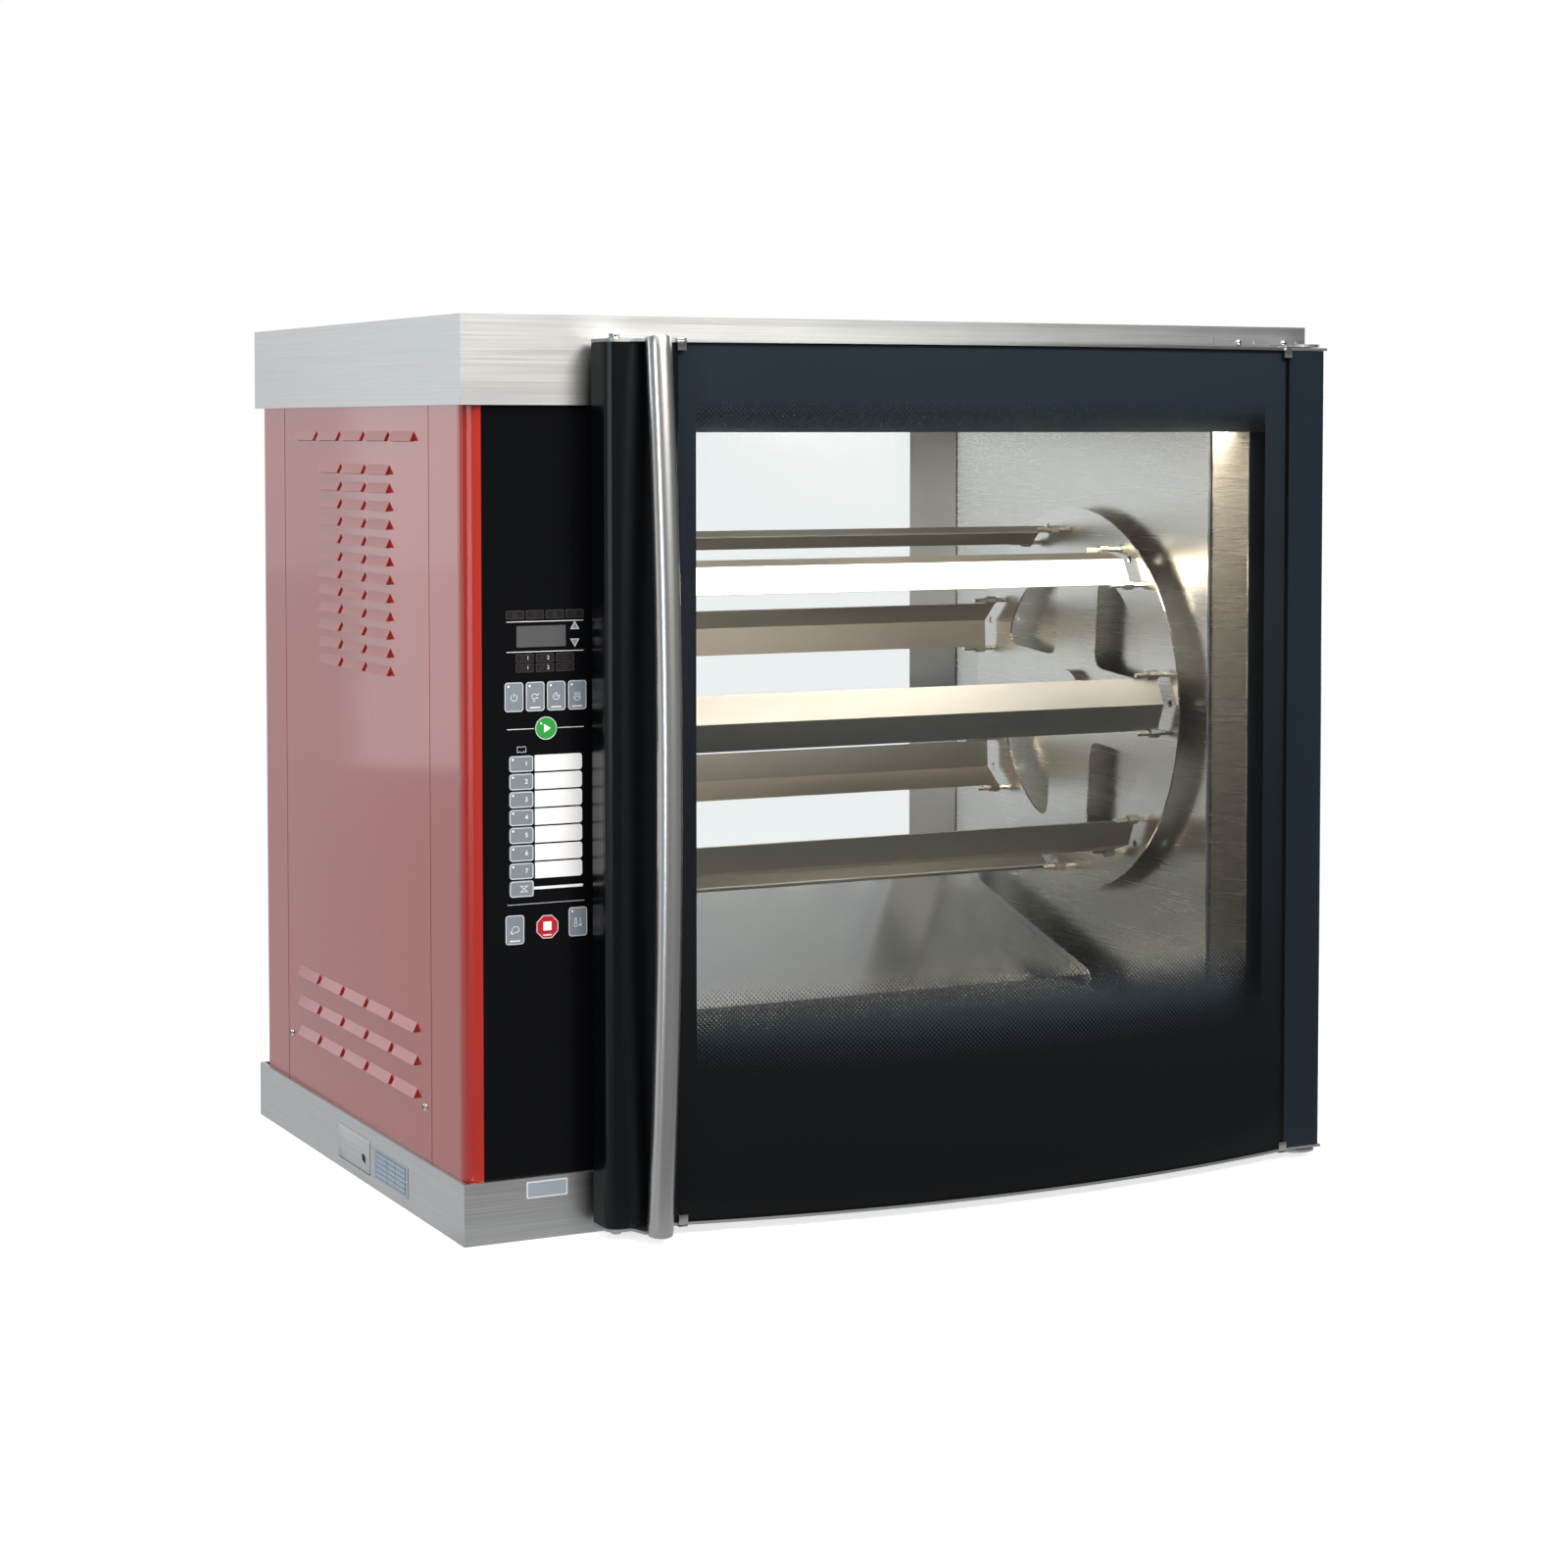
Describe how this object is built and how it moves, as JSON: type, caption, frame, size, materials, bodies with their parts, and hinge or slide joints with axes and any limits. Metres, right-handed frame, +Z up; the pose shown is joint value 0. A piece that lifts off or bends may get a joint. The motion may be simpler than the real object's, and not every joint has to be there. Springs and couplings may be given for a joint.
{
  "type": "rotisserie oven",
  "caption": "Countertop pass-through rotisserie oven: boxed steel cabinet, bowed glass front door, flat rear door, spit rotor with end discs and a key panel.",
  "frame": {"origin": "centre of the base pan's underside", "axes": "+X to the right along the width, -Y towards the user at the key panel, +Z up"},
  "size_m": [1, 0.8672, 0.92],
  "materials": {
    "brushed_stainless": "brushed",
    "cavity_stainless": "satin",
    "red_powder_coat": "gloss",
    "panel_black": "gloss",
    "door_glass": "clear window with a black printed border",
    "clear_glass": "clear",
    "black_anodised": "satin",
    "motor_paint": "satin",
    "board_green": "matte",
    "element_sheath": "heat-tinted",
    "bearing_bronze": "satin",
    "key_grey": "satin",
    "key_green": "satin",
    "key_red": "satin"
  },
  "bodies": {
    "cabinet": {"base_pan": "brushed_stainless", "top_cover": "brushed_stainless", "left_front_corner": "red_powder_coat", "louvred_side_panel": "red_powder_coat", "right_side_panel": "red_powder_coat", "front_frame": "brushed_stainless", "rear_frame": "red_powder_coat", "control_panel": "panel_black", "cavity_floor": "cavity_stainless", "cavity_roof": "cavity_stainless", "cavity_left_wall": "cavity_stainless", "cavity_right_wall": "cavity_stainless", "drip_pan": "cavity_stainless", "gear_motor": "motor_paint", "control_board": "board_green", "fan_housing": "cavity_stainless", "heating_element": "element_sheath", "drive_bearing": "bearing_bronze", "idler_bearing": "bearing_bronze", "hinge_bracket_top": "brushed_stainless", "hinge_bracket_bottom": "brushed_stainless"},
    "rotor": {"rotor_shaft": "cavity_stainless", "drive_disc": "cavity_stainless", "idler_disc": "cavity_stainless", "spit_1": "cavity_stainless", "spit_2": "cavity_stainless", "spit_3": "cavity_stainless", "spit_4": "cavity_stainless", "spit_5": "cavity_stainless", "spit_6": "cavity_stainless", "spit_7": "cavity_stainless"},
    "fan": {"fan_rotor": "cavity_stainless"},
    "front_door": {"door_glass_outer": "door_glass", "door_glass_inner": "door_glass", "door_handle_stile": "black_anodised", "door_hinge_stile": "black_anodised", "door_top_plate": "brushed_stainless", "door_bottom_plate": "brushed_stainless", "door_handle": "brushed_stainless"},
    "rear_door": {"rear_door_frame": "black_anodised", "rear_door_glass": "clear_glass", "rear_door_handle": "brushed_stainless"},
    "key_up_cap": {"key_up": "key_grey"},
    "key_down_cap": {"key_down": "key_grey"},
    "key_power_cap": {"key_power": "key_grey"},
    "key_cook_cap": {"key_cook": "key_grey"},
    "key_hold_cap": {"key_hold": "key_grey"},
    "key_lamp_cap": {"key_lamp": "key_grey"},
    "key_start_cap": {"key_start": "key_green"},
    "key_program_1_cap": {"key_program_1": "key_grey"},
    "key_program_2_cap": {"key_program_2": "key_grey"},
    "key_program_3_cap": {"key_program_3": "key_grey"},
    "key_program_4_cap": {"key_program_4": "key_grey"},
    "key_program_5_cap": {"key_program_5": "key_grey"},
    "key_program_6_cap": {"key_program_6": "key_grey"},
    "key_program_7_cap": {"key_program_7": "key_grey"},
    "key_clear_cap": {"key_clear": "key_grey"},
    "key_menu_cap": {"key_menu": "key_grey"},
    "key_stop_cap": {"key_stop": "key_red"},
    "key_probe_cap": {"key_probe": "key_grey"}
  },
  "joints": [
    {"name": "front_door_swing", "type": "hinge", "parent": "cabinet", "child": "front_door", "pos_m": [0.474, -0.372, 0.453], "axis": [0, 0, 1], "range_deg": [0, 120]},
    {"name": "rear_door_swing", "type": "hinge", "parent": "cabinet", "child": "rear_door", "pos_m": [0.48, 0.36, 0.453], "axis": [0, 0, -1], "range_deg": [0, 115]},
    {"name": "rotor_spin", "type": "hinge", "parent": "cabinet", "child": "rotor", "pos_m": [0.055, -0.04, 0.488], "axis": [1, 0, 0], "continuous": true},
    {"name": "fan_spin", "type": "hinge", "parent": "cabinet", "child": "fan", "pos_m": [-0.34, 0.15, 0.69], "axis": [1, 0, 0], "continuous": true},
    {"name": "key_up_press", "type": "slide", "parent": "cabinet", "child": "key_up_cap", "axis": [0, 1, 0], "range_m": [0, 0.0008], "stiffness_N_per_m": 300},
    {"name": "key_down_press", "type": "slide", "parent": "cabinet", "child": "key_down_cap", "axis": [0, 1, 0], "range_m": [0, 0.0008], "stiffness_N_per_m": 300},
    {"name": "key_power_press", "type": "slide", "parent": "cabinet", "child": "key_power_cap", "axis": [0, 1, 0], "range_m": [0, 0.0008], "stiffness_N_per_m": 300},
    {"name": "key_cook_press", "type": "slide", "parent": "cabinet", "child": "key_cook_cap", "axis": [0, 1, 0], "range_m": [0, 0.0008], "stiffness_N_per_m": 300},
    {"name": "key_hold_press", "type": "slide", "parent": "cabinet", "child": "key_hold_cap", "axis": [0, 1, 0], "range_m": [0, 0.0008], "stiffness_N_per_m": 300},
    {"name": "key_lamp_press", "type": "slide", "parent": "cabinet", "child": "key_lamp_cap", "axis": [0, 1, 0], "range_m": [0, 0.0008], "stiffness_N_per_m": 300},
    {"name": "key_start_press", "type": "slide", "parent": "cabinet", "child": "key_start_cap", "axis": [0, 1, 0], "range_m": [0, 0.0008], "stiffness_N_per_m": 300},
    {"name": "key_program_1_press", "type": "slide", "parent": "cabinet", "child": "key_program_1_cap", "axis": [0, 1, 0], "range_m": [0, 0.0008], "stiffness_N_per_m": 300},
    {"name": "key_program_2_press", "type": "slide", "parent": "cabinet", "child": "key_program_2_cap", "axis": [0, 1, 0], "range_m": [0, 0.0008], "stiffness_N_per_m": 300},
    {"name": "key_program_3_press", "type": "slide", "parent": "cabinet", "child": "key_program_3_cap", "axis": [0, 1, 0], "range_m": [0, 0.0008], "stiffness_N_per_m": 300},
    {"name": "key_program_4_press", "type": "slide", "parent": "cabinet", "child": "key_program_4_cap", "axis": [0, 1, 0], "range_m": [0, 0.0008], "stiffness_N_per_m": 300},
    {"name": "key_program_5_press", "type": "slide", "parent": "cabinet", "child": "key_program_5_cap", "axis": [0, 1, 0], "range_m": [0, 0.0008], "stiffness_N_per_m": 300},
    {"name": "key_program_6_press", "type": "slide", "parent": "cabinet", "child": "key_program_6_cap", "axis": [0, 1, 0], "range_m": [0, 0.0008], "stiffness_N_per_m": 300},
    {"name": "key_program_7_press", "type": "slide", "parent": "cabinet", "child": "key_program_7_cap", "axis": [0, 1, 0], "range_m": [0, 0.0008], "stiffness_N_per_m": 300},
    {"name": "key_clear_press", "type": "slide", "parent": "cabinet", "child": "key_clear_cap", "axis": [0, 1, 0], "range_m": [0, 0.0008], "stiffness_N_per_m": 300},
    {"name": "key_menu_press", "type": "slide", "parent": "cabinet", "child": "key_menu_cap", "axis": [0, 1, 0], "range_m": [0, 0.0008], "stiffness_N_per_m": 300},
    {"name": "key_stop_press", "type": "slide", "parent": "cabinet", "child": "key_stop_cap", "axis": [0, 1, 0], "range_m": [0, 0.0008], "stiffness_N_per_m": 300},
    {"name": "key_probe_press", "type": "slide", "parent": "cabinet", "child": "key_probe_cap", "axis": [0, 1, 0], "range_m": [0, 0.0008], "stiffness_N_per_m": 300}
  ]
}
